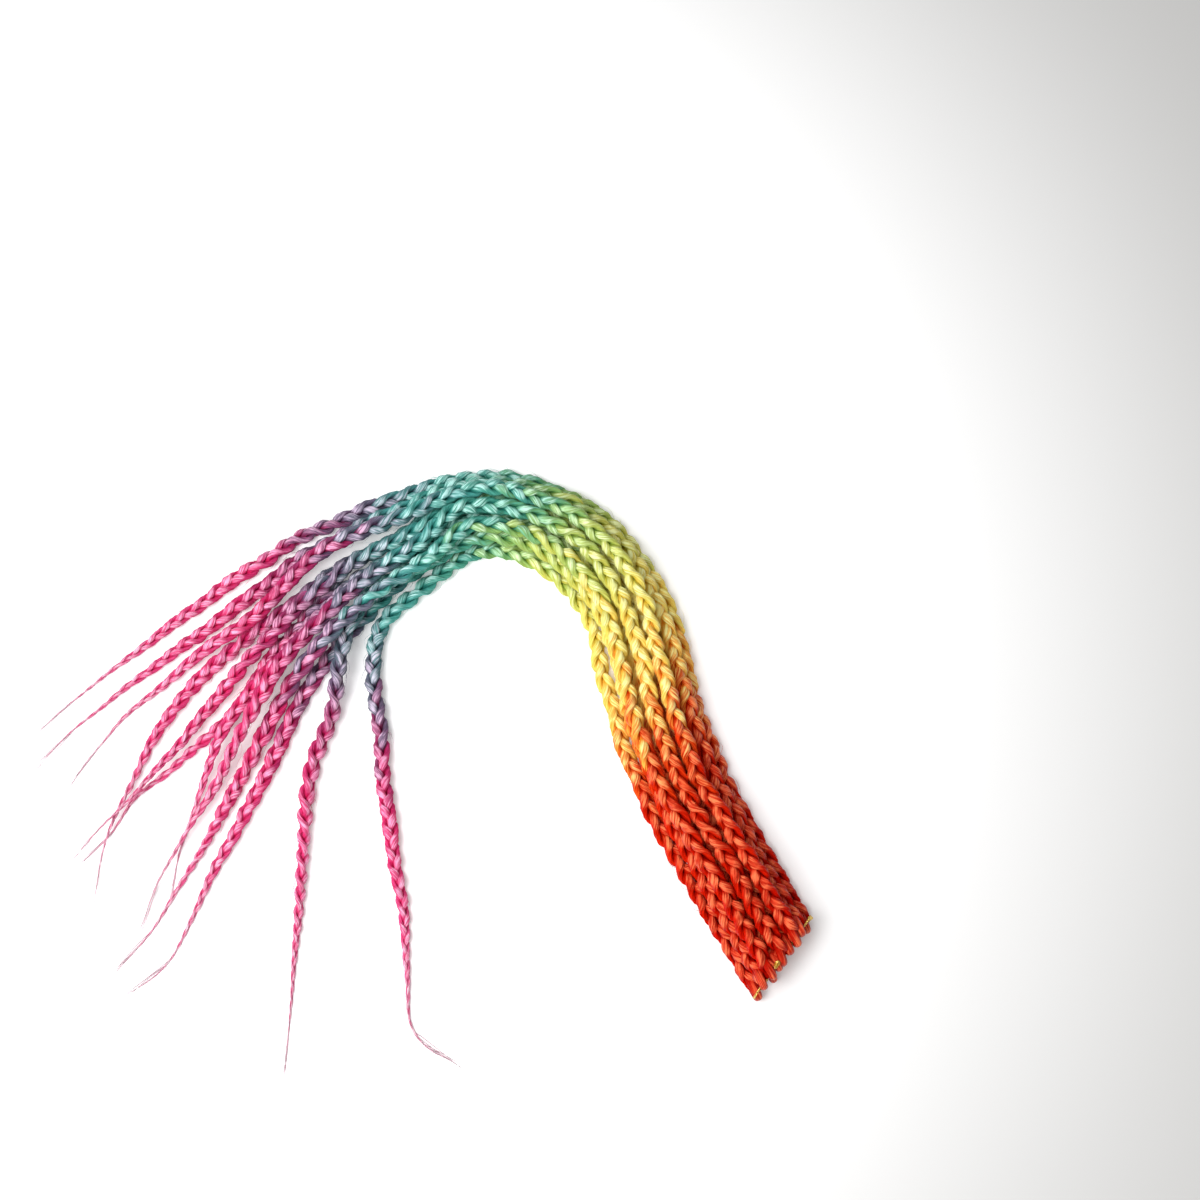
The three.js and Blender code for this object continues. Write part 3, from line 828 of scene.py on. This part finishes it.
def round_trip(points, count):
    knots = np.linalg.norm(np.roll(points, -1, axis=0) - points, axis=1) ** 0.5
    out = []
    n = len(points)
    for i in range(n):
        p0, p1, p2, p3 = points[i - 1], points[i], points[(i + 1) % n], points[(i + 2) % n]
        t0, t1 = 0.0, knots[i - 1]
        t2 = t1 + knots[i]
        t3 = t2 + knots[(i + 1) % n]
        for t in np.linspace(t1, t2, max(2, int(count * knots[i] ** 2 / (knots ** 2).sum()))
                             , endpoint=False):
            a1 = (t1 - t) / (t1 - t0) * p0 + (t - t0) / (t1 - t0) * p1
            a2 = (t2 - t) / (t2 - t1) * p1 + (t - t1) / (t2 - t1) * p2
            a3 = (t3 - t) / (t3 - t2) * p2 + (t - t2) / (t3 - t2) * p3
            b1 = (t2 - t) / (t2 - t0) * a1 + (t - t0) / (t2 - t0) * a2
            b2 = (t3 - t) / (t3 - t1) * a2 + (t - t1) / (t3 - t1) * a3
            out.append((t2 - t) / (t2 - t1) * b1 + (t - t1) / (t2 - t1) * b2)
    return np.array(out)


# %% Make the tie
def ply(bm, centres, turns, offset, radius, closed, start=0.0):
    count = len(centres)
    if closed:
        run = unit(np.roll(centres, -1, axis=0) - np.roll(centres, 1, axis=0))
    else:
        run = unit(np.gradient(centres, axis=0))
    first = unit(np.cross(run, np.array([0.47, -0.88, 0.02])))
    second = np.cross(run, first)
    angle = start + 2 * math.pi * turns * np.arange(count) / count
    wound = centres + first * (offset * np.cos(angle))[:, None] + second * (offset * np.sin(angle))[:, None]
    if closed:
        wound = np.vstack([wound, wound[:1]])
        first, second = np.vstack([first, first[:1]]), np.vstack([second, second[:1]])
    rows = len(wound)
    roll_grid(bm, wound, second, first, np.full(rows, radius), np.full(rows, radius), 8,
              np.zeros(rows), np.linspace(0, 30, rows), closed=closed)


bm = bmesh.new()
tie_points, knot_seat, bight = tie_route()
thread = round_trip(tie_points, 420)
for k in range(2):
    ply(bm, thread, 46, 0.00030, 0.00031, True, start=math.pi * k)
for k in range(3):
    turn = np.linspace(0, 2 * math.pi, 33)[:-1]
    tilt_by = 0.9 * (k - 1)
    ring = np.stack([0.0008 * np.cos(turn), 0.0008 * np.sin(turn) * math.cos(tilt_by),
                     0.0008 * np.sin(turn) * math.sin(tilt_by)], axis=1)
    ply(bm, knot_seat + ring, 5, 0.0002, 0.00045, True)
nearest = int(np.argmin(np.linalg.norm(thread - bight, axis=1)))
wound_part = np.linspace(nearest - 9, nearest + 9, 81)
coil = np.stack([np.interp(wound_part, np.arange(len(thread)), thread[:, k]) for k in range(3)], axis=1)
ply(bm, coil, 5, 0.00085, 0.00042, False)
tie = finish_piece(bm, "gold_tie", FOIL, "tie_thread", "tie_cord")
thread_length = np.linalg.norm(thread - np.roll(thread, 1, axis=0), axis=1).sum()
print("tie", len(tie.data.polygons), "faces, thread", round(float(thread_length), 3), "m round")

# %% [markdown]
# ## A white table and soft light
# The braids lie on a white surface in even daylight from the left. A big area light gives the soft
# shadows to the right of each braid, and a bright surrounding keeps the shadows open. The table's
# colour also has a painted pool of light round a point to the left, greyer further away, and the
# table glows faintly there, a painted glow that lightens the shadows near the braids.

# %% Table, light and surroundings
bm = bmesh.new()
bmesh.ops.create_grid(bm, x_segments=1, y_segments=1, size=12.0)
floor_mesh = bpy.data.meshes.new("table")
bm.to_mesh(floor_mesh)
bm.free()
table_top = bpy.data.objects.new("table", floor_mesh)
bpy.context.scene.collection.objects.link(table_top)
LIT_FROM = (AIM.x - 0.20, AIM.y + 0.03, 0.0)
white = bpy.data.materials.new("white_table")
white.use_nodes = True
tree = white.node_tree
shader = tree.nodes["Principled BSDF"]
shader.inputs["Roughness"].default_value = 0.75
place = add(tree, "ShaderNodeTexCoord")
away = add(tree, "ShaderNodeVectorMath", operation="DISTANCE")
tree.links.new(place.outputs["Object"], away.inputs[0])
away.inputs[1].default_value = LIT_FROM
# Painted light: the table's colour darkens and its faint glow fades with distance from this point, a painted
# pool of light that also lightens the shadows near the braids.
light_pool_share = soft_step(tree, away.outputs["Value"], 0.22, 0.66)
light_pool_colour = add(tree, "ShaderNodeMix", data_type="RGBA")
light_pool_colour.inputs["A"].default_value = (0.90, 0.90, 0.90, 1)
light_pool_colour.inputs["B"].default_value = (0.605, 0.60, 0.59, 1)
tree.links.new(light_pool_share, light_pool_colour.inputs["Factor"])
tree.links.new(light_pool_colour.outputs["Result"], shader.inputs["Base Color"])
painted_glow = add(tree, "ShaderNodeMapRange")
painted_glow.inputs["To Min"].default_value = 0.20
painted_glow.inputs["To Max"].default_value = 0.0
tree.links.new(light_pool_share, painted_glow.inputs["Value"])
shader.inputs["Emission Color"].default_value = (1, 1, 1, 1)
tree.links.new(painted_glow.outputs["Result"], shader.inputs["Emission Strength"])
floor_mesh.materials.append(white)


def area_light(name, place, size, power, aim=(0, 0, 0)):
    data = bpy.data.lights.new(name, "AREA")
    data.shape = "SQUARE"
    data.size = size
    data.energy = power
    lamp = bpy.data.objects.new(name, data)
    bpy.context.scene.collection.objects.link(lamp)
    lamp.location = place
    lamp.rotation_euler = (Vector(aim) - Vector(place)).to_track_quat("-Z", "Y").to_euler()
    return lamp


area_light("window", (-0.80, -0.35, 1.60), 0.90, 18)
area_light("screen", (-0.50, -0.20, 1.05), 1.30, 14)
world = bpy.data.worlds.new("surroundings")
world.use_nodes = True
world.node_tree.nodes["Background"].inputs["Color"].default_value = (1, 1, 1, 1)
world.node_tree.nodes["Background"].inputs["Strength"].default_value = 0.31
bpy.context.scene.world = world
bpy.context.scene.view_settings.view_transform = "Standard"
